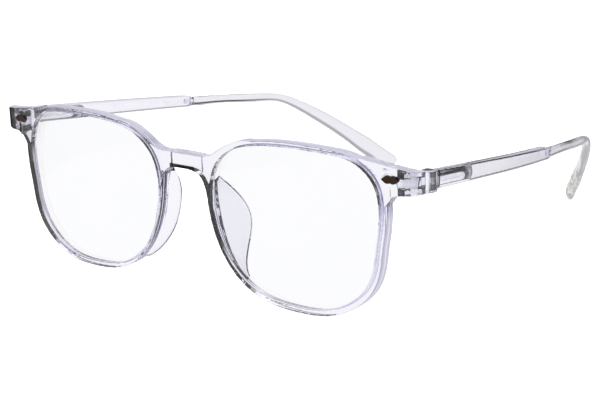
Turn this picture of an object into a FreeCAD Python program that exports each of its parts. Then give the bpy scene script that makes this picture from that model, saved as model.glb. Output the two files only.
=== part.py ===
import FreeCAD, Part
import math
import os
from FreeCAD import Vector

# Clear plastic reading glasses with sprung hinges, built in millimetres.
# Everything is first drawn as worn: +X to the wearer's left, +Y back along
# the temples, +Z up, zero at lens-centre height on the bridge's front face.
# rest_pose() then lays the glasses on their rims and tip ends on Z = 0.

# ---- lenses and rims -------------------------------------------------------
LENS_X = 35.2            # half the distance between the two lens centres
RIM_BAND = 1.5           # mean width of the rim seen from the front
RIM_SHIFT = (0.6, -0.1)  # the rim is wider on the temple side and at the bottom
RIM_DEPTH = 3.2          # front-to-back thickness of the rims
FRONT_R = 600.0          # radius of the bow of the whole front, seen from above
TILT = 6.9               # degrees the rims lean in toward the cheeks
LENS_R = 130.0           # base curve of a lens
LENS_T = 1.9
BEVEL_OUT = 0.5          # how far a lens edge goes into its groove
BEVEL_T = 0.9
FIT_GAP = 0.02           # glue or snap gap round every seated piece
LENS_OUTLINE = [
    (25.3, 0.0), (26.1, 7.0), (24.6, 14.2), (19.1, 18.9), (11.0, 20.2),
    (0.0, 20.5), (-11.4, 19.7), (-18.4, 17.7), (-23.7, 13.3), (-25.9, 7.0),
    (-25.5, 0.0), (-23.6, -6.3), (-20.4, -11.9), (-16.1, -16.2), (-10.0, -19.4),
    (0.0, -20.9), (10.4, -20.2), (17.1, -17.2), (21.8, -12.7), (24.3, -6.5),
]

# ---- bridge, nose fins and end pieces ---------------------------------------
BRIDGE_TOP = [(0.0, 14.9), (4.5, 14.9), (8.8, 15.3), (12.4, 17.3), (17.2, 19.8),
              (24.5, 20.9)]
BRIDGE_BOTTOM = [(0.0, 10.8), (4.0, 10.5), (6.3, 9.2), (7.7, 6.4), (9.6, 0.0)]
END_X = 72.4             # outer side of an end piece
END_TOP = [(56.0, 20.6), (65.0, 19.1), (END_X, 18.3)]
END_BOTTOM = [(END_X, 12.9), (69.5, 12.2), (66.0, 11.7), (63.9, 9.8), (62.4, 5.0)]
CHEEK_LIFT = 0.5         # the cheek runs level, so it ends up higher than the tilted plate
CHEEK_TOP = (18.9, 18.45)
END_CORNER = 2.4         # rounding of an end piece's front corner
BLOCK_HALF_W = 5.3       # the middle of the bridge is a thicker block
BLOCK_DEPTH = 0.8        # how far it stands behind the rims' back face
FIN_T = 1.4              # thickness of a nose fin
FIN_REAR = [(8.4, 4.3, 8.6), (10.6, 9.2, 4.6), (13.0, 12.4, -1.8),
            (13.6, 11.2, -8.0), (15.0, 8.6, -13.0), (18.4, 6.4, -16.8)]
FIN_ROOT = [(9.7, 1.4, 8.4), (10.1, 1.5, 3.0), (11.2, 1.8, -3.0),
            (13.2, 2.2, -9.0), (16.0, 2.8, -13.6), (19.8, 3.4, -17.2)]

# ---- hinge -------------------------------------------------------------------
PIN_X = 69.4             # hinge pin, as worn
PIN_Y = 11.0
PIN_Z = 16.0
KNUCKLE_R = 1.3
KNUCKLE_HALF = 2.4       # half height of the three-knuckle stack
EYE_HALF = 0.85          # half height of the middle knuckle
PIN_R = 0.55
RUN_GAP = 0.05
PIN_HEAD_R = 0.95
PIN_HEAD_H = 0.6
PLATE = (65.2, 69.6, -3.4, -2.3, 2.75)   # x from, x to, y from, y to, half height
LEG = (65.4, 67.3, 1.25, 2.9)            # x from, x to, z from, z to
LEG_LENGTH = 2.6

# ---- sprung carrier ------------------------------------------------------------
LEAN = 3.0               # degrees an open temple leans inward at its root
ROD_R = 0.5
ROD_END = 15.4           # rod length from the pin
CASE_FROM = 1.9          # metal case along the temple, measured from the pin
CASE_TO = 18.2
CASE_HALF_H = 1.85
CASE_HALF_T = 1.2
CASE_WALL = 1.5          # front wall the rod slides through
CASE_ROUND = 0.8         # rounding of its long edges
CAVITY_R = 0.95
CAVITY_END = 16.6
NUT_R = 0.85
NUT_T = 1.0
COIL_R = 0.72
COIL_WIRE = 0.16
COIL_TURNS = 9

# ---- temples --------------------------------------------------------------------
ARM_T = 3.2              # thickness of the thick front part of a temple
ARM_ROOT_X = 70.4        # its centre line at the root, seen from above
ARM_SLOPE = 0.055        # inward lean of the straight part
ARM_STRAIGHT_TO = 40.0
ARM_BOW_R = 310.0        # radius of the inward bow behind it
ARM_STEP_Y = 73.1        # where the temple steps down to its slim tip
ARM_TOP = (18.5, 17.7)   # top height at the root and at the step
ARM_BOTTOM = (13.7, 14.1)
ARM_STEP_CHAMFER = 1.1
ARM_ROUND = 0.7          # rounding of its long edges
JOINT_GAP = 0.12         # gap between an end piece and an open temple

# ---- slim tips --------------------------------------------------------------------
TIP_T = 2.6
TIP_H = 2.7
TENON = 3.0              # length of tip bonded inside the thick part
TENON_R = 0.7
BEND_Y = 107.3
HOOK_MID = (52.4, 121.2, 11.1)
HOOK_END = (34.2, 141.8, -8.0)
PADDLE_H = 5.8           # width of the flattened tip end
PADDLE_T = 2.8

# ---- end piece studs ----------------------------------------------------------------
STUD_X = 65.0
STUD_Z = 16.0
STUD_HALF_W = 2.5
STUD_HALF_H = 1.0
STUD_PROUD = 0.45
STUD_PIN_R = 0.45
STUD_PIN_LENGTH = 1.4
STUD_PIN_PITCH = 2.2

OUTLINE_STEPS = 44       # points used to redraw an outline at an offset

# ---- lying on a table ------------------------------------------------------------------
REST_TURN = 5.215        # degrees the worn glasses tip back to lie on rims and tips
REST_Y = -70.66
REST_Z = 22.53

X = Vector(1, 0, 0)
Y = Vector(0, 1, 0)
Z = Vector(0, 0, 1)
ZERO = Vector(0, 0, 0)
PIN = Vector(PIN_X, PIN_Y, PIN_Z)


def spline(points, closed=False):
    curve = Part.BSplineCurve()
    curve.interpolate([Vector(*p) for p in points], closed)
    return curve.toShape()


def flat(points):
    """Outline points on the front's own flat drawing plane, Y = 0."""
    return [(x, 0.0, z) for x, z in points]


def fuse(shapes):
    body = shapes[0]
    for other in shapes[1:]:
        body = body.fuse(other)
    return body.removeSplitter()


def cylinder(radius, low, high, centre=ZERO, axis=Z):
    return Part.makeCylinder(radius, high - low, centre + axis * low, axis)


def box(x, y, z):
    size = [b - a for a, b in (x, y, z)]
    return Part.makeBox(*size, Vector(x[0], y[0], z[0]))


def mirrored(shape):
    return shape.mirror(ZERO, X)


# ---- front -------------------------------------------------------------------------
def lens_wire(extra=0.0):
    """Closed outline of the left lens opening, grown outward by extra."""
    curve = Part.BSplineCurve()
    curve.interpolate([Vector(x + LENS_X, 0, z) for x, z in LENS_OUTLINE], True)
    if extra == 0.0:
        return Part.Wire([curve.toShape()])
    span = curve.LastParameter - curve.FirstParameter
    grown = []
    for i in range(OUTLINE_STEPS):
        u = curve.FirstParameter + span * i / OUTLINE_STEPS
        way = Vector(*curve.tangent(u)[0])
        grown.append(curve.value(u) + Vector(way.z, 0, -way.x) * extra)
    return Part.Wire([spline(grown, True)])


def prism(wire, low, high):
    face = Part.Face(wire)
    face.translate(Y * low)
    return face.extrude(Y * (high - low))


def bowed(low, high):
    """The space between two bowed surfaces, low and high mm behind the front face."""
    outer = cylinder(FRONT_R - low, -60.0, 60.0, Vector(0, FRONT_R, 0))
    return outer.cut(cylinder(FRONT_R - high, -60.0, 60.0, Vector(0, FRONT_R, 0)))


def bridge_outline():
    """Bridge between the rims, drawn across both halves so its edges stay smooth."""
    wires = []
    for line in (BRIDGE_TOP, BRIDGE_BOTTOM):
        across = [(-x, z) for x, z in reversed(line[1:])] + line
        wires.append(spline(flat(across)))
    for sign in (1, -1):
        corners = (BRIDGE_TOP[-1], (13.0, 14.0), BRIDGE_BOTTOM[-1])
        wires += Part.makePolygon([Vector(sign * x, 0, z) for x, z in corners]).Edges
    return Part.Wire(Part.sortEdges(wires)[0])


def end_outline():
    top = spline(flat(END_TOP))
    bottom = spline(flat(END_BOTTOM))
    side = Part.makeLine(Vector(END_X, 0, END_TOP[-1][1]), Vector(END_X, 0, END_BOTTOM[0][1]))
    inner = Part.makeLine(Vector(END_TOP[0][0], 0, END_TOP[0][1]),
                          Vector(END_BOTTOM[-1][0], 0, END_BOTTOM[-1][1]))
    return Part.Wire(Part.sortEdges([top, bottom, side, inner])[0])


def cheek():
    """The block that carries an end piece back to the hinge, as worn."""
    plan = Part.makePolygon([Vector(x, y, 0) for x, y in (
        (65.0, 1.6), (END_X - 1, 4.0), (END_X, 5.0), (END_X, 12.0), (70.6, 12.0), (68.2, 8.6),
        (65.6, 6.6), (65.0, 1.6))])
    top = Part.makePolygon([Vector(0, y, z) for y, z in (
        (0.0, CHEEK_TOP[0]), (12.0, CHEEK_TOP[1]), (12.0, 5.0), (0.0, 5.0), (0.0, CHEEK_TOP[0]))])
    block = Part.Face(plan).extrude(Z * 30.0).common(Part.Face(top).extrude(X * 90.0))
    return block.common(prism(end_outline(), 0.0, 13.0).translated(Z * CHEEK_LIFT))


def front_plate():
    """Both rims, the bridge and the end pieces as one bowed plate, still upright."""
    rim = Part.Face(lens_wire(RIM_BAND)).translated(Vector(RIM_SHIFT[0], 0, RIM_SHIFT[1]))
    bow = bowed(0.0, RIM_DEPTH)
    rim, bridge, end = [face.translated(Y * -4.0).extrude(Y * 24.0).common(bow) for face in
                        (rim, Part.Face(bridge_outline()), Part.Face(end_outline()))]
    block = Part.Face(bridge_outline()).translated(Y * -4.0).extrude(Y * 24.0)
    block = block.common(bowed(0.0, RIM_DEPTH + BLOCK_DEPTH))
    block = block.common(box((-BLOCK_HALF_W, BLOCK_HALF_W), (-1, 9), (5, 20)))
    half = fuse([rim, end]).cut(corner_cutter())
    return fuse([half, mirrored(half), bridge, block])


def corner_cutter():
    """What rounding an end piece's front outer corner takes away."""
    front_y = FRONT_R - math.sqrt(FRONT_R ** 2 - END_X ** 2)
    r = END_CORNER
    square = box((END_X - r, END_X + 2), (front_y - 3, front_y + r), (0, 40))
    return square.cut(cylinder(r, -1, 41, Vector(END_X - r, front_y + r, 0)))


def lens_body(gap=0.0):
    """The left lens: a domed disc with a bevelled tongue round its edge."""
    turn = math.degrees(math.asin(LENS_X / FRONT_R))
    front_y = FRONT_R - math.sqrt(FRONT_R ** 2 - LENS_X ** 2)
    axis = Vector(-math.sin(math.radians(turn)), math.cos(math.radians(turn)), 0)
    middle = Vector(LENS_X, front_y, 0) - axis * 0.15

    def shell(thick):
        outer = Part.makeSphere(LENS_R + thick / 2, middle + axis * LENS_R)
        return outer.cut(Part.makeSphere(LENS_R - thick / 2, middle + axis * LENS_R))

    disc = prism(lens_wire(gap - FIT_GAP), -12.0, 14.0).common(shell(LENS_T + 2 * gap))
    tongue = prism(lens_wire(BEVEL_OUT + gap - FIT_GAP), -12.0, 14.0)
    tongue = tongue.common(shell(BEVEL_T + 2 * gap))
    return fuse([disc, tongue])


def tilted(shape):
    """Lean an upright drawing-plane shape by the rims' tilt."""
    return shape.rotated(ZERO, X, TILT)


def nose_fin():
    """Swept fin behind the nasal side of the left rim, as worn."""
    root = spline(FIN_ROOT)
    rear = spline(FIN_REAR)
    skin = Part.makeRuledSurface(root, rear)
    skin.translate(Vector(-0.93, 0.36, 0) * (FIN_T / 2))
    return skin.makeOffsetShape(FIN_T, 0.01, fill=True)


def at_hinge(shape):
    """Move a shape drawn round the pin's own upright axis to its place as worn."""
    return shape.rotated(ZERO, X, TILT).translated(PIN)


def along_temple(shape):
    """Move a shape drawn along +Y from the pin to the open temple's root line."""
    return shape.rotated(ZERO, Z, LEAN).translated(PIN)


def stud(gap=0.0):
    """Lozenge stud head with two pins, on the left end piece's face, upright."""
    w = STUD_HALF_W
    h = STUD_HALF_H
    points = [(-w, 0.0), (-w * 0.55, h * 0.85), (-w * 0.28, h), (0.0, h * 0.78), (w * 0.28, h),
              (w * 0.55, h * 0.85), (w, 0.0), (w * 0.55, -h * 0.85), (w * 0.28, -h),
              (0.0, -h * 0.78), (-w * 0.28, -h), (-w * 0.55, -h * 0.85)]
    loop = [Vector(x, 0, z) for x, z in points + points[:1]]
    head = Part.Face(Part.makePolygon(loop)).extrude(Y * (STUD_PROUD + 0.5))
    head.translate(Y * -STUD_PROUD)
    pins = [cylinder(STUD_PIN_R + gap, -0.2, STUD_PIN_LENGTH + 0.5 + gap,
                     Vector(x, 0, 0), Y) for x in (-STUD_PIN_PITCH / 2, STUD_PIN_PITCH / 2)]
    body = fuse([head] + pins)
    turn = math.degrees(math.asin(STUD_X / FRONT_R))
    front_y = FRONT_R - math.sqrt(FRONT_R ** 2 - STUD_X ** 2)
    return body.rotated(ZERO, Z, turn).translated(Vector(STUD_X, front_y, STUD_Z))


def anchor(gap=0.0):
    """Plate with two square legs, moulded into the back of an end piece."""
    x0, x1, y0, y1, half = PLATE
    parts = [box((x0 - PIN_X - gap, x1 - PIN_X + gap), (y0 - gap, y1 + gap),
                 (-half - gap, half + gap))]
    a, b, low, high = LEG
    for z in ((low, high), (-high, -low)):
        parts.append(box((a - PIN_X - gap, b - PIN_X + gap),
                         (y0 - LEG_LENGTH - gap, y0 + 0.1), (z[0] - gap, z[1] + gap)))
    return fuse(parts)


def hinge_front():
    """Fixed hinge half: anchor, and a fork of two knuckles round the pin."""
    ears = []
    for low, high in ((EYE_HALF + RUN_GAP, KNUCKLE_HALF), (-KNUCKLE_HALF, -EYE_HALF - RUN_GAP)):
        ear = cylinder(KNUCKLE_R, low, high)
        web = box((-KNUCKLE_R, 0.2), (PLATE[3] - 0.1, 0), (low, high))
        ears.append(ear.fuse(web))
    body = fuse([anchor()] + ears)
    body = body.cut(cylinder(PIN_R + RUN_GAP, -4, 4))
    head = cylinder(PIN_HEAD_R + RUN_GAP, KNUCKLE_HALF - PIN_HEAD_H - RUN_GAP, 4)
    return body.cut(head)


def hinge_screw():
    """Hinge screw with a slotted head let into the top knuckle."""
    body = fuse([cylinder(PIN_R, -KNUCKLE_HALF - 0.15, KNUCKLE_HALF - PIN_HEAD_H + 0.1),
                 cylinder(PIN_HEAD_R, KNUCKLE_HALF - PIN_HEAD_H, KNUCKLE_HALF + 0.15)])
    slot = box((-2, 2), (-0.15, 0.15), (KNUCKLE_HALF - 0.15, KNUCKLE_HALF + 1))
    return body.cut(slot)


def carrier():
    """Middle knuckle and rod, placed as worn."""
    eye = at_hinge(cylinder(KNUCKLE_R, -EYE_HALF, EYE_HALF))
    neck = along_temple(box((-0.7, 0.7), (0.0, CASE_FROM - RUN_GAP), (-0.65, 0.65)))
    rod = along_temple(cylinder(ROD_R, 0.6, ROD_END, ZERO, Y))
    bore = at_hinge(cylinder(PIN_R + RUN_GAP, -3, 3))
    return fuse([eye, neck, rod]).cut(bore)


def retainer():
    """Nut on the rod's rear end that the coil spring pushes against."""
    nut = cylinder(NUT_R, ROD_END - NUT_T, ROD_END, ZERO, Y)
    return along_temple(nut.cut(cylinder(ROD_R, 0, ROD_END + 1, ZERO, Y)))


def coil():
    """Coil spring round the rod, from the case's front wall to the nut."""
    start = CASE_FROM + CASE_WALL + COIL_WIRE + 0.02
    length = ROD_END - NUT_T - COIL_WIRE - 0.02 - start
    helix = Part.makeHelix(length / COIL_TURNS, length, COIL_R)
    ring = Part.Wire(Part.makeCircle(COIL_WIRE, Vector(COIL_R, 0, 0), Y))
    wire = Part.Wire(helix.Edges).makePipeShell([ring], True, True)
    return along_temple(wire.rotated(ZERO, X, -90).translated(Y * start))


def case_outer(gap=0.0):
    """Capsule outline of the spring case, rounded at its rear end."""
    h = CASE_HALF_H + gap
    straight = box((-CASE_HALF_T - gap, CASE_HALF_T + gap),
                   (CASE_FROM - gap, CASE_TO - CASE_HALF_H), (-h, h))
    end = cylinder(h, -CASE_HALF_T - gap, CASE_HALF_T + gap,
                   Vector(0, CASE_TO - CASE_HALF_H, 0), X)
    body = fuse([straight, end])
    outline = [e for e in body.Edges
               if e.BoundBox.XLength < 0.01 and e.BoundBox.YMax > CASE_FROM + 1.0]
    return body.makeFillet(CASE_ROUND, outline)


def spring_case():
    """Metal case with a rod hole in front and a round cavity for the spring."""
    cavity = cylinder(CAVITY_R, CASE_FROM + CASE_WALL, CAVITY_END, ZERO, Y)
    hole = cylinder(ROD_R + RUN_GAP, 0, CASE_FROM + CASE_WALL + 0.1, ZERO, Y)
    return along_temple(case_outer().cut(fuse([cavity, hole])))


# ---- temples ---------------------------------------------------------------------
def bow_centre():
    """Centre of the arc that the temple's centre line follows behind its straight part."""
    lean = math.atan(ARM_SLOPE)
    x = ARM_ROOT_X - ARM_SLOPE * (ARM_STRAIGHT_TO - PIN_Y)
    return Vector(x - ARM_BOW_R * math.cos(lean), ARM_STRAIGHT_TO - ARM_BOW_R * math.sin(lean), 0)


def bow_point(y, radius):
    """Point at height zero on a bow arc of this radius, seen from above."""
    centre = bow_centre()
    return Vector(centre.x + math.sqrt(radius ** 2 - (y - centre.y) ** 2), y, 0)


def arm_centre(y):
    """X of a temple's centre line at y, seen from above."""
    if y <= ARM_STRAIGHT_TO:
        return ARM_ROOT_X - ARM_SLOPE * (y - PIN_Y)
    return bow_point(y, ARM_BOW_R).x


def arm_slope(y):
    """Change of X per mm of Y along the bowed part."""
    rise = (y - bow_centre().y) / ARM_BOW_R
    return -rise / math.sqrt(1 - rise ** 2)


def arm_middle_z():
    return (ARM_TOP[1] + ARM_BOTTOM[1]) / 2


def arm_body():
    """Thick front part of a temple, rounded along its edges."""
    root_y = PIN_Y - 2.0
    lean = math.atan(ARM_SLOPE)
    out = Vector(math.cos(lean), math.sin(lean), 0)
    edges = []
    ends = []
    for offset in (ARM_T / 2, -ARM_T / 2):
        radius = ARM_BOW_R + offset
        root = Vector(arm_centre(root_y), root_y, 0) + out * offset
        start = Vector(arm_centre(ARM_STRAIGHT_TO), ARM_STRAIGHT_TO, 0) + out * offset
        middle = bow_point((start.y + ARM_STEP_Y) / 2, radius)
        rear = bow_point(ARM_STEP_Y, radius)
        edges += [Part.makeLine(root, start), Part.Arc(start, middle, rear).toShape()]
        ends.append((root, rear))
    for i in (0, 1):
        edges.append(Part.makeLine(ends[0][i], ends[1][i]))
    plan = Part.Face(Part.Wire(Part.sortEdges(edges)[0]))
    blank = plan.extrude(Z * 40.0)
    c = ARM_STEP_CHAMFER
    side = [(PIN_Y - 2.0, ARM_BOTTOM[0]), (ARM_STEP_Y - 2 * c, ARM_BOTTOM[1]),
            (ARM_STEP_Y, arm_middle_z() - TIP_H / 2), (ARM_STEP_Y, arm_middle_z() + TIP_H / 2),
            (ARM_STEP_Y - 2 * c, ARM_TOP[1]), (PIN_Y - 2.0, ARM_TOP[0])]
    loop = [Vector(0, y, z) for y, z in side + side[:1]]
    silhouette = Part.Face(Part.makePolygon(loop)).extrude(X * 100.0)
    body = blank.common(silhouette)
    long_edges = [e for e in body.Edges if e.Length > 25.0]
    return body.makeFillet(ARM_ROUND, long_edges)


def temple():
    """Clear temple with the spring case's pocket and the tip's socket."""
    body = arm_body()
    behind = at_hinge(box((-20, 20), (JOINT_GAP / 2, 200), (-30, 30)))
    body = body.common(behind)
    body = body.cut(at_hinge(cylinder(KNUCKLE_R + 0.15, -9, 9)))
    rear_of_pin = along_temple(box((-8, KNUCKLE_R + 0.15), (-3, CASE_FROM + 0.1), (-9, 9)))
    body = body.cut(rear_of_pin)
    body = body.cut(along_temple(case_outer(FIT_GAP)))
    return body.cut(tenon(FIT_GAP))


def tip_frame(point, tangent):
    """Width and height directions of a tip section at a point on its path."""
    t = Vector(tangent).normalize()
    wide = t.cross(Z).normalize()
    tall = wide.cross(t).normalize()
    return wide, tall


def oval(point, tangent, thick, height):
    """Oval section across the path, thick sideways and height upward."""
    wide, tall = tip_frame(point, tangent)
    major, minor, first, second = height / 2, thick / 2, tall, wide
    if thick > height:
        major, minor, first, second = minor, major, wide, tall
    ellipse = Part.Ellipse(point + first * major, point + second * minor, point)
    return Part.Wire([ellipse.toShape()])


def tenon(gap=0.0):
    """Round peg at the front of a slim tip, inside the thick part."""
    y0 = ARM_STEP_Y - TENON
    start = Vector(arm_centre(y0), y0, arm_middle_z())
    end = Vector(arm_centre(ARM_STEP_Y), ARM_STEP_Y, arm_middle_z())
    way = end - start
    low = start - way.normalize() * gap
    return Part.makeCylinder(TENON_R + gap, (end - low).Length + 0.5, low, way)


def hook_point(t):
    """Point and tangent on the curved end, t from 0 at the bend to 1 at the end."""
    a = Vector(arm_centre(BEND_Y), BEND_Y, arm_middle_z() - 0.5)
    b = Vector(*HOOK_MID)
    c = Vector(*HOOK_END)
    point = a * (1 - t) ** 2 + b * (2 * t * (1 - t)) + c * t ** 2
    return point, (b - a) * (2 - 2 * t) + (c - b) * (2 * t)


def temple_tip():
    """Slim tip: straight bowed rod, then a hook that flattens to a paddle."""
    sections = []
    for y in (ARM_STEP_Y - 1.0, 82.0, 92.0, 101.0):
        drop = 0.5 * (y - ARM_STEP_Y) / (BEND_Y - ARM_STEP_Y)
        point = Vector(arm_centre(y), y, arm_middle_z() - drop)
        sections.append(oval(point, Vector(arm_slope(y), 1.0, -0.01), TIP_T, TIP_H))
    for t in (0.12, 0.3, 0.5, 0.7, 0.88):
        point, tangent = hook_point(t)
        grow = max(0.0, t - 0.1) / 0.9
        height = TIP_H + (PADDLE_H - TIP_H) * grow
        thick = TIP_T + (PADDLE_T - TIP_T) * grow
        sections.append(oval(point, tangent, thick, height))
    for t, shrink in ((0.95, 0.98), (0.985, 0.92), (1.0, 0.74)):
        point, tangent = hook_point(t)
        sections.append(oval(point, tangent, PADDLE_T * shrink, PADDLE_H * shrink))
    body = Part.makeLoft(sections, True, False)
    body = body.common(box((0, 90), (ARM_STEP_Y + FIT_GAP, 200), (-60, 60)))
    return fuse([body, tenon()])


def frame_front():
    """Moulded front: rims, bridge, end pieces and nose fins in one piece."""
    plate = front_plate()
    aperture = prism(lens_wire(), -12.0, 16.0)
    groove = lens_body(FIT_GAP)
    plate = plate.cut([aperture, mirrored(aperture), groove, mirrored(groove)])
    body = fuse([tilted(plate), cheek(), mirrored(cheek())])
    tools = []
    socket = tilted(stud(FIT_GAP))
    pocket = at_hinge(anchor(FIT_GAP))
    knuckles = at_hinge(cylinder(KNUCKLE_R + 0.15, -9, 9))
    throat = at_hinge(box((-8, KNUCKLE_R + 0.15), (PLATE[3] - 0.05, 3), (-9, 9)))
    behind = at_hinge(box((-20, 20), (-JOINT_GAP / 2, 20), (-30, 30)))
    for tool in (socket, pocket, knuckles, throat, behind):
        tools += [tool, mirrored(tool)]
    body = body.cut(tools)
    fin = nose_fin().cut(tilted(lens_body(FIT_GAP)))
    return fuse([body, fin, mirrored(fin)])


def rest_pose(shape):
    """Lay the worn glasses down until rims and tip ends touch Z = 0."""
    return shape.rotated(ZERO, X, -REST_TURN).translated(Vector(0, REST_Y, REST_Z))


if __name__ == "__main__":
    os.makedirs("parts", exist_ok=True)
    left = {
        "lens": tilted(lens_body()),
        "stud": tilted(stud()),
        "hinge_front": at_hinge(hinge_front()),
        "hinge_screw": at_hinge(hinge_screw()),
        "spring_carrier": carrier(),
        "spring_nut": retainer(),
        "spring": coil(),
        "spring_case": spring_case(),
        "temple": temple(),
        "temple_tip": temple_tip(),
    }
    nodes = {"frame_front": frame_front()}
    for name, shape in left.items():
        nodes[name + "_left"] = shape
        nodes[name + "_right"] = mirrored(shape)
    for name, shape in nodes.items():
        rest_pose(shape).exportStep("parts/" + name + ".step")
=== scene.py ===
import math

import bpy
from mathutils import Matrix, Vector

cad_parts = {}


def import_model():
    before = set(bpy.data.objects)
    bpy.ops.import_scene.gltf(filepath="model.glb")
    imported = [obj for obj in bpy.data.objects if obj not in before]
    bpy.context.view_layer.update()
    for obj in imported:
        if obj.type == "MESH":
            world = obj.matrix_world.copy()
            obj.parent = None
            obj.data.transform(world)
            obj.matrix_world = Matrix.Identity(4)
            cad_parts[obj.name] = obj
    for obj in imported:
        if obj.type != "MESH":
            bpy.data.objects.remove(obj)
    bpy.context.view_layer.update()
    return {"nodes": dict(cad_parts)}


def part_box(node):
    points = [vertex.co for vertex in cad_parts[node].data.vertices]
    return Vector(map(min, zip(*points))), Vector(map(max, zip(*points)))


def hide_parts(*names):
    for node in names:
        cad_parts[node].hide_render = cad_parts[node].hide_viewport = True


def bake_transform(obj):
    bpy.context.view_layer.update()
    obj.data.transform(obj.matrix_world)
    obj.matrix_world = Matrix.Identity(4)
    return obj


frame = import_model()

MM = 0.001


def mm(low, high):
    """A range in millimetres as the metres that Blender works in."""
    return low * MM, high * MM


# ---- where the frame lies ------------------------------------------------------------
# The design is drawn as worn, then tipped back and moved to lie on a table.
REST_TURN = math.radians(5.215)
REST_MOVE = Vector((0.0, -70.66, 22.53)) * MM
PIN_WORN = Vector((69.4, 11.0, 16.0)) * MM   # left hinge pin
LEAN = math.radians(3.0)                     # an open temple's inward lean

# The camera stands in the worn frame. Its lens and its sensor's width are in millimetres.
CAM_WORN = Vector((302.781, -331.596, 86.592)) * MM
CAM_YAW = math.radians(38.52)
CAM_PITCH = math.radians(10.53)
CAM_ROLL = math.radians(2.106)
CAM_LENS = 103.978
CAM_SENSOR = 36.0

# Soft lights over the table: name, place, size and watts.
LIGHTS = (("key", (-0.5, -0.5, 0.9), (0.8, 0.8), 14.0),
          ("fill", (0.8, 0.2, 0.7), (0.6, 0.6), 6.0))

# ---- studio screens --------------------------------------------------------------------
# Brightness against one part of a direction in camera space, which goes from 0 (full left,
# down or back) through 0.5 (none) to 1 (full right, up or ahead).
SCREEN_ACROSS = [(0.0, 0.80), (0.2, 0.95), (0.36, 1.0), (0.63, 1.0), (0.71, 0.02), (1.0, 0.01)]
SCREEN_FOOT = [(0.41, 1.0), (0.46, 0.0)]
SCREEN_UP = [(0.0, 0.85), (0.3, 1.0), (0.45, 1.0), (0.615, 1.0), (0.68, 0.06), (0.80, 0.06),
             (0.88, 1.15)]
SCREEN_BACK = [(0.0, 0.85), (0.15, 0.75), (0.28, 0.25), (0.45, 0.0)]
WHITE = (1.0, 1.0, 1.0)

PAPER_SIZE = 6.0
PAPER_TINTS = (0.93, 0.93, 0.935), (0.95, 0.95, 0.955)
PAPER_GRAIN = 30.0
PAPER_ROUGH = (0.6, 0.7)
PAPER_FADE = (0.25, 0.6)         # how far out the paper turns white

# ---- light on the front's edges ----------------------------------------------------------
# Each effect comes in over a range of: the part of a wall's normal that points to the
# camera's right or up (TURN), the way to the right of a lens's middle as the camera sees it
# (ACROSS), the height over the table (RISE) or the distance from the plane of symmetry (OUT).
LENS_MIDDLE = 35.2 * MM          # from the plane of symmetry
LENS_Y = REST_MOVE.y + 2.0 * MM
LENS_HEIGHT = 22.0 * MM
FRONT_RADIUS = 600.0 * MM        # the front's bow
PLATE_BACK = mm(3.4, 4.6)        # behind the bow, where only the nose fins go on

# Painted black reflection of a studio flag in the walls on a lens's left, in their outer faces
# and their inner ones.
DARK_REFLECTION_COLOUR = (0.012, 0.011, 0.010)
FLAG_DEPTH = 0.95
FLAG_OUTER_TURN = (-0.66, -0.86)
FLAG_INNER_TURN = (0.45, 0.70)
FLAG_ACROSS = mm(-14, -6)
FLAG_RISE = mm(9, 14)

# The same painted black, as shade along the underside of the bridge's block and on the lip over
# it.
UNDER_TURN = (0.35, 0.6)
BLOCK_LIP_RISE = mm(34.25, 34.45)
BLOCK_OUT = mm(4.2, 4.5)

# The same painted black reflection inside the rims' upper right corners, whose walls face
# CORNER_WAY.
CORNER_WAY = (0.75, 0.6)
CORNER_DEPTH = 0.85
CORNER_TURN = (0.45, 0.7)
CORNER_ACROSS = mm(7, 13)
CORNER_RISE = mm(23, 27)

# Painted shade in dark mottled patches in the end piece on the camera's left.
END_SHADE_COLOUR = (0.045, 0.045, 0.05)
END_GRAIN = 430.0
END_NOISE = (0.44, 0.54)
END_DEPTH = (0.1, 0.75)
END_OUT = mm(57, 60)
END_ACROSS = mm(-23, -21)
END_RISE = mm(31, 33)

# A painted pale sheen on the outermost walls that face right, and along the tops.
PALE_SHEEN_COLOUR = (0.72, 0.71, 0.84)
PALE_SHEEN_DEPTH = 0.6
PALE_SHEEN_TURN = (0.25, 0.7)
PALE_SHEEN_OUT = mm(42, 50)
PALE_SHEEN_RISE = mm(28, 32)
TOP_DEPTH = 0.75
TOP_TURN = (0.55, 0.8)

# ---- light on the temples and tips ---------------------------------------------------------
LEFT_SIDE = mm(0, 1)             # x here splits the left temple from the right one
# Painted pale light on the temples' edges.
EDGE_LIGHT_COLOUR = (0.74, 0.74, 0.82)
EDGE_DEPTH = 0.75
EDGE_LAST = 1.5                  # it shows on the first two surfaces that a ray meets
EDGE_UNDER_TURN = (-0.30, -0.65)
EDGE_TOP_TURN = (0.30, 0.65)
# A painted pale glow over the tips, coming in along the range below.
TIP_GLOW_COLOUR = (0.78, 0.78, 0.83)
TIP_GLOW_DEPTH = 0.5
TIP_GLOW_Y = mm(20, 36)
TIP_AGED_COLOUR = (0.42, 0.43, 0.34)
TIP_AGED_GRAIN = 800.0
TIP_AGED_NOISE = (0.44, 0.58)
TIP_AGED_DEPTH = (0.05, 0.9)
TIP_AGED_RISE = mm(9, 17)

# ---- plastic ---------------------------------------------------------------------------
PLASTIC_TINTS = (0.945, 0.94, 0.985), (0.92, 0.915, 0.965)
PLASTIC_FLOW = 90.0              # scale of the slow ripples left by moulding
PLASTIC_RIPPLE = (0.12, 0.6 * MM)
PLASTIC_MARKS = 700.0            # scale of the fine marks of handling
PLASTIC_ROUGH = (0.01, 0.05)
PLASTIC_DEEP = (0.66, 0.64, 0.88)    # the tint that light takes on inside
PLASTIC_DENSITY = 22.0
PLASTIC_SHADOW = (0.95, 0.95, 0.97)
TIP_DENSITY = 26.0
GLASS_IOR = 1.5
PIPED_DEPTH = 9.5                # light that has bounced more often than this glows
PIPED_COLOUR = (0.84, 0.83, 0.92)

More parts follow.
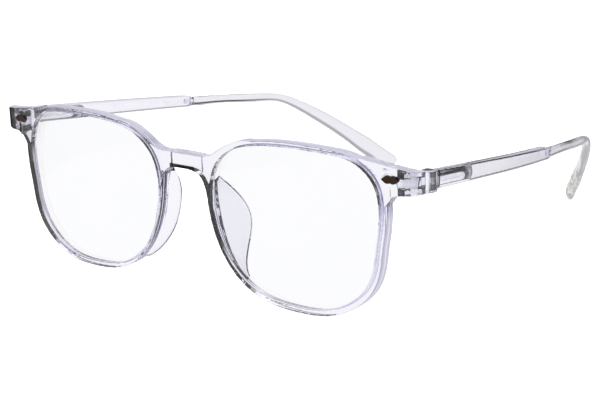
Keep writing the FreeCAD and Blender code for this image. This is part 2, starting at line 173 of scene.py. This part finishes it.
LENS_TINTS = (0.985, 0.985, 1.0), (0.965, 0.97, 1.0)
LENS_COATING = 45.0              # scale of the coating's slow change of tint
LENS_MARKS = 900.0
LENS_ROUGH = (0.0, 0.03)
# Painted violet reflection of the coating on the lens's edge faces.
LENS_EDGE_REFLECTION_COLOUR = (0.50, 0.48, 0.98)
LENS_EDGE_TURN = (0.55, 0.75)    # an edge's normal points less than this to front or back
LENS_SHINE = (0.62, 0.60, 1.0)
LENS_SHADOW = (0.98, 0.98, 1.0)

# ---- metal ------------------------------------------------------------------------------
# Plain metals by kind of piece: name, two colours, roughness, grain and the record's slot.
PLAIN_METALS = {
    "stud": ("stud_bronze", (0.016, 0.010, 0.008), (0.07, 0.045, 0.035),
             (0.3, 0.5), 1500.0, "stud"),
    "hinge_screw": ("screw_steel", (0.55, 0.55, 0.56), (0.7, 0.7, 0.7),
                    (0.2, 0.35), 1600.0, "hinge_metal"),
    "spring_carrier": ("carrier_nickel", (0.30, 0.30, 0.31), (0.45, 0.45, 0.46),
                       (0.2, 0.45), 1300.0, "hinge_metal"),
    "spring_nut": ("nut_brass", (0.5, 0.42, 0.25), (0.62, 0.52, 0.32),
                   (0.25, 0.4), 1300.0, "hinge_metal"),
    "spring": ("spring_steel", (0.35, 0.35, 0.36), (0.5, 0.5, 0.5),
               (0.2, 0.4), 1700.0, "spring_steel"),
}
METAL_BROAD = 260.0              # scale of the slow change of colour
METAL_RELIEF = (0.15, 0.3 * MM)

# Hinge front: two colours, roughness and grain, then painted shade and brightness from its front
# to its back, and a little painted glow for its bright plate.
HINGE_LOOK = ((0.80, 0.80, 0.82), (0.92, 0.92, 0.94), (0.22, 0.45), 1200.0)
HINGE_METALLIC = 0.5
HINGE_SHADES = [(0.33, 0.02), (0.37, 1.0), (0.50, 0.9), (0.56, 0.06)]
HINGE_GLOW = 0.35

# Spring cases: painted reflection, bright sides in a dark rim, from the line along their middle
# outwards.
# The left case is lit, and the right case is the same steel painted darker as shade.
CASE_LIT_AND_SHADED_COLOURS = {"left": ((0.92, 0.92, 0.93), (0.98, 0.98, 0.98)),
                "right": ((0.58, 0.58, 0.61), (0.72, 0.72, 0.76))}
CASE_ROUGH = (0.16, 0.30)
CASE_GRAIN = 2200.0
CASE_BRUSHED = (1.0, 0.06, 1.0)
CASE_METALLIC = 0.35
CASE_REFLECTION_STOPS = [(0.0, 0.7), (0.06, 1.0), (0.44, 1.0), (0.54, 0.05), (0.86, 0.12), (1.0, 0.5)]
CASE_HALF = 2.2 * MM
CASE_DROP = 0.35 * MM            # the bright side sits this far under the pin's height
CASE_ROUND_FROM = 12.0 * MM      # from the pin to where the bright side begins to narrow
CASE_ROUND_PACE = 0.5

# ---- texture and skin ------------------------------------------------------------------
NOISE_RANGE = (0.35, 0.65)       # where nearly all of a noise's values fall
NO_STRETCH = (1.0, 1.0, 1.0)
SKIN_GRID = 0.15 * MM
SKIN_PASSES = 12
CORNER_ANGLE = math.radians(35.0)


def laid(v):
    """A direction in the worn frame turned into the table frame."""
    return Matrix.Rotation(-REST_TURN, 3, "X") @ v


def temple_way(side):
    """The direction in which an open temple runs back from its hinge."""
    lean = -LEAN if side == "left" else LEAN
    return laid(Vector((math.sin(lean), math.cos(lean), 0.0)))


def rgba(colour):
    """A colour as four numbers; another node's output stays as it is."""
    return colour if isinstance(colour, bpy.types.NodeSocket) else (*colour, 1.0)


class Graph:
    """A node tree, with the few steps that every shader here is written in.

    A value is a number, or the output socket of another node.
    """

    def __init__(self, tree):
        tree.nodes.clear()
        self.nodes = tree.nodes
        self.links = tree.links

    def node(self, kind, inputs=None, **settings):
        """A new node, with its settings and then its inputs by name or number."""
        node = self.nodes.new("ShaderNode" + kind)
        for name, value in settings.items():
            setattr(node, name, value)
        for key, value in (inputs or {}).items():
            if isinstance(value, bpy.types.NodeSocket):
                self.links.new(value, node.inputs[key])
            else:
                node.inputs[key].default_value = value
        return node

    # Where and how a ray meets the surface
    def geometry(self, name):
        return self.node("NewGeometry").outputs[name]

    def path(self, name):
        return self.node("LightPath").outputs[name]

    def split(self, vector):
        node = self.node("SeparateXYZ", {"Vector": vector})
        return [node.outputs[axis] for axis in "XYZ"]

    def place(self):
        """A point's x, y and z in the frame at rest, carried along with a moving piece."""
        return self.split(self.node("TexCoord").outputs["Object"])

    def camera_axes(self, vector):
        """Right, up and forward parts of a world-space vector as the camera sees it."""
        turned = self.node("VectorTransform", {"Vector": vector}, vector_type="VECTOR",
                           convert_from="WORLD", convert_to="CAMERA")
        return self.split(turned.outputs["Vector"])

    # Arithmetic
    def maths(self, operation, *values):
        return self.node("Math", dict(enumerate(values)), operation=operation).outputs[0]

    def times(self, product, *others):
        for value in others:
            product = self.maths("MULTIPLY", product, value)
        return product

    def join(self, x, y, z):
        return self.node("CombineXYZ", {"X": x, "Y": y, "Z": z}).outputs[0]

    def dot(self, vector, way):
        node = self.node("VectorMath", {0: vector, 1: way}, operation="DOT_PRODUCT")
        return node.outputs["Value"]

    def span(self, value, source, target):
        """Remap a value from a source range to a target range, holding at its ends."""
        node = self.node("MapRange", {"Value": value,
                                      "From Min": source[0], "From Max": source[1],
                                      "To Min": target[0], "To Max": target[1]})
        return node.outputs["Result"]

    def rise(self, value, source, top=1.0):
        return self.span(value, source, (0.0, top))

    def fall(self, value, source, top=1.0):
        return self.span(value, source, (top, 0.0))

    def curve(self, value, stops):
        """A grey curve through (position, brightness) stops."""
        node = self.node("ValToRGB", {"Fac": value})
        points = node.color_ramp.elements
        while len(points) < len(stops):
            points.new(0.5)
        for point, (where, grey) in zip(points, stops):
            point.position = where
            point.color = (grey, grey, grey, 1.0)
        return node.outputs["Color"]

    # Texture
    def noise(self, scale, detail, stretch=NO_STRETCH):
        """Fractal noise in the frame's own metres, stretched along an axis if asked."""
        where = self.node("TexCoord").outputs["Object"]
        moved = self.node("Mapping", {"Vector": where, "Scale": stretch}).outputs["Vector"]
        noise = self.node("TexNoise", {"Vector": moved, "Scale": scale, "Detail": detail})
        return noise.outputs["Fac"]

    def blend(self, amount, low, high, **settings):
        """Mix two colours by an amount from 0 to 1."""
        node = self.node("Mix", {"Factor": amount, "A": rgba(low), "B": rgba(high)},
                         data_type="RGBA", **settings)
        return node.outputs["Result"]

    def bump(self, height, strength, distance):
        node = self.node("Bump", {"Height": height, "Strength": strength, "Distance": distance})
        return node.outputs["Normal"]

    # Shaders
    def principled(self, inputs):
        return self.node("BsdfPrincipled", inputs).outputs[0]

    def mix(self, amount, low, high):
        return self.node("MixShader", {"Fac": amount, 1: low, 2: high}).outputs[0]

    def glow(self, colour):
        return self.node("Emission", {"Color": rgba(colour)}).outputs[0]

    def veil(self, shader, amount, colour):
        """Lay a soft even light over a surface, by an amount from 0 to 1."""
        return self.mix(amount, shader, self.glow(colour))

    def output(self, surface, volume=None):
        node = self.node("OutputMaterial", {"Surface": surface})
        if volume is not None:
            self.links.new(volume, node.inputs["Volume"])


def new_material(name):
    mat = bpy.data.materials.new(name)
    mat.use_nodes = True
    return mat, Graph(mat.node_tree)


# ---- clear materials ------------------------------------------------------------------
def let_light_through(graph, shader, tint):
    """Shadow and diffuse rays pass a clear surface; light piped round inside it glows."""
    piped = graph.maths("GREATER_THAN", graph.path("Ray Depth"), PIPED_DEPTH)
    shader = graph.veil(shader, piped, PIPED_COLOUR)
    passing = graph.maths("MAXIMUM", graph.path("Is Shadow Ray"), graph.path("Is Diffuse Ray"))
    clear = graph.node("BsdfTransparent", {"Color": rgba(tint)}).outputs[0]
    return graph.mix(passing, shader, clear)


def clear_plastic(name, density, finish):
    """Moulded clear plastic: faint tint, soft flow ripples and fine handling marks.

    finish(graph, shader) lays the piece's own light over the plastic.
    """
    mat, graph = new_material(name)
    flow = graph.noise(PLASTIC_FLOW, detail=2.0)
    marks = graph.noise(PLASTIC_MARKS, detail=6.0)
    plastic = graph.principled({"Base Color": graph.blend(flow, *PLASTIC_TINTS),
                                "Roughness": graph.span(marks, NOISE_RANGE, PLASTIC_ROUGH),
                                "Normal": graph.bump(flow, *PLASTIC_RIPPLE),
                                "Transmission Weight": 1.0,
                                "IOR": GLASS_IOR})
    surface = let_light_through(graph, finish(graph, plastic), PLASTIC_SHADOW)
    deep = graph.node("VolumeAbsorption", {"Color": rgba(PLASTIC_DEEP), "Density": density})
    graph.output(surface, deep.outputs[0])
    return mat


def painted_pale_edges(graph, shader):
    """Painted pale light on the temples' edges and ends; the left temple gets none along its
    top, so it keeps a dark top line.
    """
    x, _, _ = graph.place()
    _, up, _ = graph.camera_axes(graph.geometry("Normal"))
    early = graph.maths("LESS_THAN", graph.path("Ray Depth"), EDGE_LAST)
    sign = graph.maths("ADD", graph.times(graph.geometry("Backfacing"), -2.0), 1.0)
    outward = graph.times(up, sign)
    under = graph.rise(outward, EDGE_UNDER_TURN, EDGE_DEPTH)
    top = graph.times(graph.rise(outward, EDGE_TOP_TURN, EDGE_DEPTH), graph.fall(x, LEFT_SIDE))
    amount = graph.times(early, graph.maths("MAXIMUM", under, top))
    # Lay the painted pale light over the edges.
    return graph.veil(shader, amount, EDGE_LIGHT_COLOUR)


def aged_and_painted_glow(graph, shader):
    """Tips carry a faint painted pale glow, and the left one's end has gone yellow and mottled.
    """
    x, y, z = graph.place()
    outer = graph.path("Is Camera Ray")
    # Painted pale glow on the tips, for camera rays only.
    pale_sheen = graph.times(graph.rise(y, TIP_GLOW_Y, TIP_GLOW_DEPTH), outer)
    shader = graph.veil(shader, pale_sheen, TIP_GLOW_COLOUR)
    mottling = graph.noise(TIP_AGED_GRAIN, detail=3.0)
    spots = graph.span(mottling, TIP_AGED_NOISE, TIP_AGED_DEPTH)
    end = graph.times(graph.fall(z, TIP_AGED_RISE), spots, graph.rise(x, LEFT_SIDE), outer)
    return graph.veil(shader, end, TIP_AGED_COLOUR)


def edge_light(graph, shader):
    """Painted light on the front's walls: black reflections of flags by each lens, painted shade
    in the far end piece, and pale sheens.

    The accents follow the camera. They show on the first surface that a view meets, and
    the flags also on the first inner one behind it.
    """
    x, y, z = graph.place()
    out = graph.maths("ABSOLUTE", x)
    right, up, _ = graph.camera_axes(graph.geometry("Normal"))
    outer = graph.path("Is Camera Ray")
    second = graph.maths("COMPARE", graph.path("Ray Depth"), 1.0)
    inner = graph.times(second, graph.geometry("Backfacing"))

    middle = graph.times(graph.maths("SIGN", x), LENS_MIDDLE)
    from_lens = [graph.maths("SUBTRACT", here, centre)
                 for here, centre in ((x, middle), (y, LENS_Y), (z, LENS_HEIGHT))]
    across, _, _ = graph.camera_axes(graph.join(*from_lens))

    bow = graph.maths("DIVIDE", graph.maths("POWER", out, 2.0), 2 * FRONT_RADIUS)
    depth = graph.maths("SUBTRACT", graph.maths("SUBTRACT", y, REST_MOVE.y), bow)
    plate = graph.fall(depth, PLATE_BACK)

    # Painted black reflection of a flag in the walls beside each lens.
    walls = graph.maths("ADD", graph.times(outer, graph.rise(right, FLAG_OUTER_TURN)),
                        graph.times(inner, graph.rise(right, FLAG_INNER_TURN)))
    flag = graph.times(walls, graph.fall(across, FLAG_ACROSS),
                       graph.rise(z, FLAG_RISE, FLAG_DEPTH), plate)

    # Painted dark band of shade along the underside of the bridge's block and on its lip.
    below = graph.times(inner, graph.rise(up, UNDER_TURN, FLAG_DEPTH))
    lip = graph.times(outer, graph.fall(z, BLOCK_LIP_RISE, FLAG_DEPTH))
    under = graph.times(graph.maths("MAXIMUM", below, lip), graph.fall(out, BLOCK_OUT))

    # Painted black reflection inside the rims' upper right corners.
    slope = graph.maths("ADD", graph.times(right, CORNER_WAY[0]), graph.times(up, CORNER_WAY[1]))
    corner = graph.times(inner, graph.rise(slope, CORNER_TURN, CORNER_DEPTH),
                         graph.rise(across, CORNER_ACROSS), graph.rise(z, CORNER_RISE), plate)

    # Painted shade in dark patches over the end piece on the camera's left.
    patches = graph.span(graph.noise(END_GRAIN, detail=2.0), END_NOISE, END_DEPTH)
    end = graph.times(outer, patches, graph.rise(out, END_OUT), graph.fall(across, END_ACROSS),
                      graph.rise(z, END_RISE))

    # Painted pale sheen on the outer walls that face right, and on the tops.
    pale_sheen = graph.times(outer, graph.rise(right, PALE_SHEEN_TURN, PALE_SHEEN_DEPTH),
                       graph.rise(out, PALE_SHEEN_OUT), graph.fall(z, PALE_SHEEN_RISE))
    top = graph.times(outer, graph.rise(up, TOP_TURN, TOP_DEPTH))

    for amount, colour in ((end, END_SHADE_COLOUR), (flag, DARK_REFLECTION_COLOUR), (under, DARK_REFLECTION_COLOUR),
                           (corner, DARK_REFLECTION_COLOUR), (pale_sheen, PALE_SHEEN_COLOUR), (top, PALE_SHEEN_COLOUR)):
        shader = graph.veil(shader, amount, colour)
    return shader


def lens_material():
    """Hard-coated lens: almost invisible, with a painted violet reflection on its edge where it
    meets the rim.
    """
    mat, graph = new_material("lens_coated")
    face = graph.blend(graph.noise(LENS_COATING, detail=3.0), *LENS_TINTS)
    _, to_front, _ = graph.split(graph.geometry("True Normal"))
    edge = graph.fall(graph.maths("ABSOLUTE", to_front), LENS_EDGE_TURN)
    marks = graph.noise(LENS_MARKS, detail=5.0)
    # The edge faces take the painted violet reflection as their colour.
    lens = graph.principled({"Base Color": graph.blend(edge, face, LENS_EDGE_REFLECTION_COLOUR),
                             "Roughness": graph.span(marks, NOISE_RANGE, LENS_ROUGH),
                             "Transmission Weight": 1.0,
                             "IOR": GLASS_IOR,
                             "Specular Tint": rgba(LENS_SHINE)})
    graph.output(let_light_through(graph, lens, LENS_SHADOW))
    return mat


# ---- metals ------------------------------------------------------------------------------
def metal(name, low, high, rough, grain, stretch=NO_STRETCH, metallic=1.0, shade=None, glow=0.0):
    """Metal with grain in its colour, its roughness and its surface.

    shade(graph) is a grey that darkens the colour from place to place.
    """
    mat, graph = new_material(name)
    fine = graph.noise(grain, detail=5.0, stretch=stretch)
    colour = graph.blend(graph.noise(METAL_BROAD, detail=2.0), low, high)
    if shade:
        colour = graph.blend(1.0, colour, shade(graph), blend_type="MULTIPLY")
    inputs = {"Base Color": colour,
              "Roughness": graph.span(fine, NOISE_RANGE, rough),
              "Normal": graph.bump(fine, *METAL_RELIEF),
              "Metallic": metallic}
    if glow:
        inputs.update({"Emission Color": colour, "Emission Strength": glow})
    graph.output(graph.principled(inputs))
    return mat


def hinge_painted_shade(graph):
    """Painted shade: dark anchor legs, then a bright plate, then dark knuckles."""
    _, y, _ = graph.place()
    front, back = [corner.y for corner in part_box("hinge_front_left")]
    # Painted shade along the hinge front, from its front to its back.
    return graph.curve(graph.rise(y, (front, back)), HINGE_SHADES)


def case_painted_reflection(graph):
    """Painted reflection: bright flat sides inside a dark rim that is wider along the top."""
    pin = laid(PIN_WORN) + REST_MOVE
    along = temple_way("left")
    height = laid(Vector((0.0, 0.0, 1.0)))
    x, y, z = graph.place()
    here = graph.join(graph.maths("ABSOLUTE", x), y, z)
    past = graph.maths("SUBTRACT", graph.dot(here, along), pin.dot(along) + CASE_ROUND_FROM)
    past = graph.times(graph.maths("MAXIMUM", past, 0.0), CASE_ROUND_PACE)
    over = graph.maths("SUBTRACT", graph.dot(here, height), pin.dot(height) - CASE_DROP)
    # Painted dark rim of reflection round the bright sides.
    squares = [graph.maths("POWER", graph.maths("ABSOLUTE", v), 2.0) for v in (past, over)]
    reach = graph.maths("SQRT", graph.maths("ADD", *squares))
    return graph.curve(graph.rise(reach, (0.0, CASE_HALF)), CASE_REFLECTION_STOPS)


# ---- studio materials ----------------------------------------------------------------
def surroundings(graph, direction):
    """Bright-field studio as seen in a direction.

    It is white ahead and below, dark to the right and in a band above the line of sight, and
    bright overhead and behind the camera. The direction is turned into camera space, so the
    screens stay put round every view.
    """
    across, up, ahead = [graph.rise(axis, (-1.0, 1.0)) for axis in graph.camera_axes(direction)]
    side = graph.maths("MAXIMUM", graph.curve(across, SCREEN_ACROSS),
                       graph.curve(up, SCREEN_FOOT))
    screen = graph.times(side, graph.curve(up, SCREEN_UP))
    return graph.maths("MAXIMUM", screen, graph.curve(ahead, SCREEN_BACK))


def floor_material():
    """Pale paper that fades to white; other rays see the studio screens carry on in it."""
    mat, graph = new_material("studio_paper")
    grain = graph.noise(PAPER_GRAIN, detail=5.0)
    paper = graph.principled({"Base Color": graph.blend(grain, *PAPER_TINTS),
                              "Roughness": graph.span(grain, NOISE_RANGE, PAPER_ROUGH)})
    distance = graph.node("VectorMath", {0: graph.geometry("Position")}, operation="LENGTH")
    paper = graph.veil(paper, graph.rise(distance.outputs["Value"], PAPER_FADE), WHITE)
    onward = graph.node("VectorMath", {0: graph.geometry("Incoming"), "Scale": -1.0},
                        operation="SCALE")
    screens = graph.glow(surroundings(graph, onward.outputs[0]))
    plain = graph.maths("MAXIMUM", graph.path("Is Camera Ray"), graph.path("Is Diffuse Ray"))
    graph.output(graph.mix(plain, screens, paper))
    return mat


# ---- dress the frame -----------------------------------------------------------------
def smooth(obj):
    """Shade curved faces smoothly and keep real corners crisp."""
    obj.data.shade_smooth()
    mod = obj.modifiers.new("corners", "EDGE_SPLIT")
    mod.split_angle = CORNER_ANGLE
    mod.use_edge_sharp = False


def mould(obj):
    """Round every edge the way a moulded and tumbled plastic part is rounded."""
    obj.data.shade_smooth()
    mod = obj.modifiers.new("skin", "REMESH")
    mod.mode = "VOXEL"
    mod.voxel_size = SKIN_GRID
    mod.adaptivity = 0.0
    mod.use_smooth_shade = True
    soft = obj.modifiers.new("rounding", "SMOOTH")
    soft.factor = 0.5
    soft.iterations = SKIN_PASSES


def coil(name, solid):
    """The spring, which sits between the case's web and the nut, copied into an object of its
    own that takes its piece's place.
    """
    side = name.split("_")[-1]
    along = temple_way(side)
    obj = bpy.data.objects.new("coil_" + side, solid.data.copy())
    bpy.context.scene.collection.objects.link(obj)
    points = [v.co for v in obj.data.vertices]
    middle = sum(points, Vector()) / len(points)
    reach = [(p - middle).dot(along) for p in points]
    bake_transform(obj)
    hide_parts(name)
    return obj


def make_looks():
    """The material and the record's slot for each kind of piece."""
    looks = {
        "frame_front": (clear_plastic("plastic_front", PLASTIC_DENSITY, edge_light),
                        "clear_plastic"),
        "temple": (clear_plastic("plastic_clear", PLASTIC_DENSITY, painted_pale_edges), "clear_plastic"),
        "temple_tip": (clear_plastic("plastic_tip", TIP_DENSITY, aged_and_painted_glow), "tip_plastic"),
        "lens": (lens_material(), "lens"),
        # Hinge front: painted shade along it and a painted glow on its plate.
        "hinge_front": (metal("hinge_nickel", *HINGE_LOOK, metallic=HINGE_METALLIC,
                              shade=hinge_painted_shade, glow=HINGE_GLOW), "hinge_metal"),
    }
    # A lit copy of the case steel for the left and a darker copy, painted shade, for the right.
    for side, colours in CASE_LIT_AND_SHADED_COLOURS.items():
        case = metal("case_steel_" + side, *colours, CASE_ROUGH, CASE_GRAIN, CASE_BRUSHED,
                     CASE_METALLIC, case_painted_reflection)
        looks["spring_case_" + side] = (case, "bright_metal")
    for kind, (*look, slot) in PLAIN_METALS.items():
        looks[kind] = (metal(*look), slot)
    return looks


def dress():
    looks = make_looks()
    for name, obj in frame["nodes"].items():
        kind = name.removesuffix("_left").removesuffix("_right")
        mat, slot = looks[name if name in looks else kind]
        obj.data.materials.clear()
        obj.data.materials.append(mat)
        if kind == "spring":
            obj = coil(name, obj)
        if kind in ("frame_front", "temple"):
            mould(obj)
        else:
            smooth(obj)


# ---- studio ------------------------------------------------------------------------------
def floor():
    bpy.ops.mesh.primitive_plane_add(size=PAPER_SIZE, location=(0, 0, 0))
    plane = bpy.context.object
    plane.name = "studio_floor"
    plane.data.materials.append(floor_material())


def world():
    """White to the camera, and the studio screens to every other ray."""
    sky = bpy.data.worlds.new("studio_white")
    bpy.context.scene.world = sky
    sky.use_nodes = True
    graph = Graph(sky.node_tree)
    direction = graph.node("TexCoord").outputs["Generated"]
    seen = graph.node("Background", {"Color": rgba(WHITE)}).outputs[0]
    around = graph.node("Background", {"Color": surroundings(graph, direction)}).outputs[0]
    graph.node("OutputWorld", {"Surface": graph.mix(graph.path("Is Camera Ray"), around, seen)})


def softbox(name, where, size, power):
    """A soft light that points at the object and stays out of its reflections."""
    light = bpy.data.lights.new(name, "AREA")
    light.shape = "RECTANGLE"
    light.size, light.size_y = size
    light.energy = power
    obj = bpy.data.objects.new(name, light)
    bpy.context.scene.collection.objects.link(obj)
    obj.visible_glossy = False
    obj.visible_transmission = False
    obj.location = where
    obj.rotation_mode = "QUATERNION"
    obj.rotation_quaternion = (-Vector(where)).to_track_quat("-Z", "Y")


# ---- camera -----------------------------------------------------------------------------------
def view_axes():
    """The camera's right, up and backward directions in the table frame."""
    forward = Vector((-math.sin(CAM_YAW) * math.cos(CAM_PITCH),
                      math.cos(CAM_YAW) * math.cos(CAM_PITCH), -math.sin(CAM_PITCH)))
    level = Vector((math.cos(CAM_YAW), math.sin(CAM_YAW), 0.0))
    upright = level.cross(forward)
    right = level * math.cos(CAM_ROLL) + upright * math.sin(CAM_ROLL)
    up = upright * math.cos(CAM_ROLL) - level * math.sin(CAM_ROLL)
    return laid(right), laid(up), laid(-forward)


def camera():
    data = bpy.data.cameras.new("camera")
    data.sensor_fit = "HORIZONTAL"
    data.sensor_width = CAM_SENSOR
    data.lens = CAM_LENS
    data.clip_start = 0.02
    data.clip_end = 20.0
    cam = bpy.data.objects.new("camera", data)
    bpy.context.scene.collection.objects.link(cam)
    turn = Matrix(view_axes()).transposed()
    cam.matrix_world = Matrix.Translation(laid(CAM_WORN) + REST_MOVE) @ turn.to_4x4()
    bpy.context.scene.camera = cam


dress()
floor()
world()
for light in LIGHTS:
    softbox(*light)
camera()

# Light takes many bounces to find its way out of clear plastic.
scene = bpy.context.scene
scene.view_settings.view_transform = "Standard"
scene.cycles.max_bounces = 24
scene.cycles.transmission_bounces = 20
scene.cycles.transparent_max_bounces = 24
scene.cycles.caustics_reflective = False
scene.cycles.caustics_refractive = False
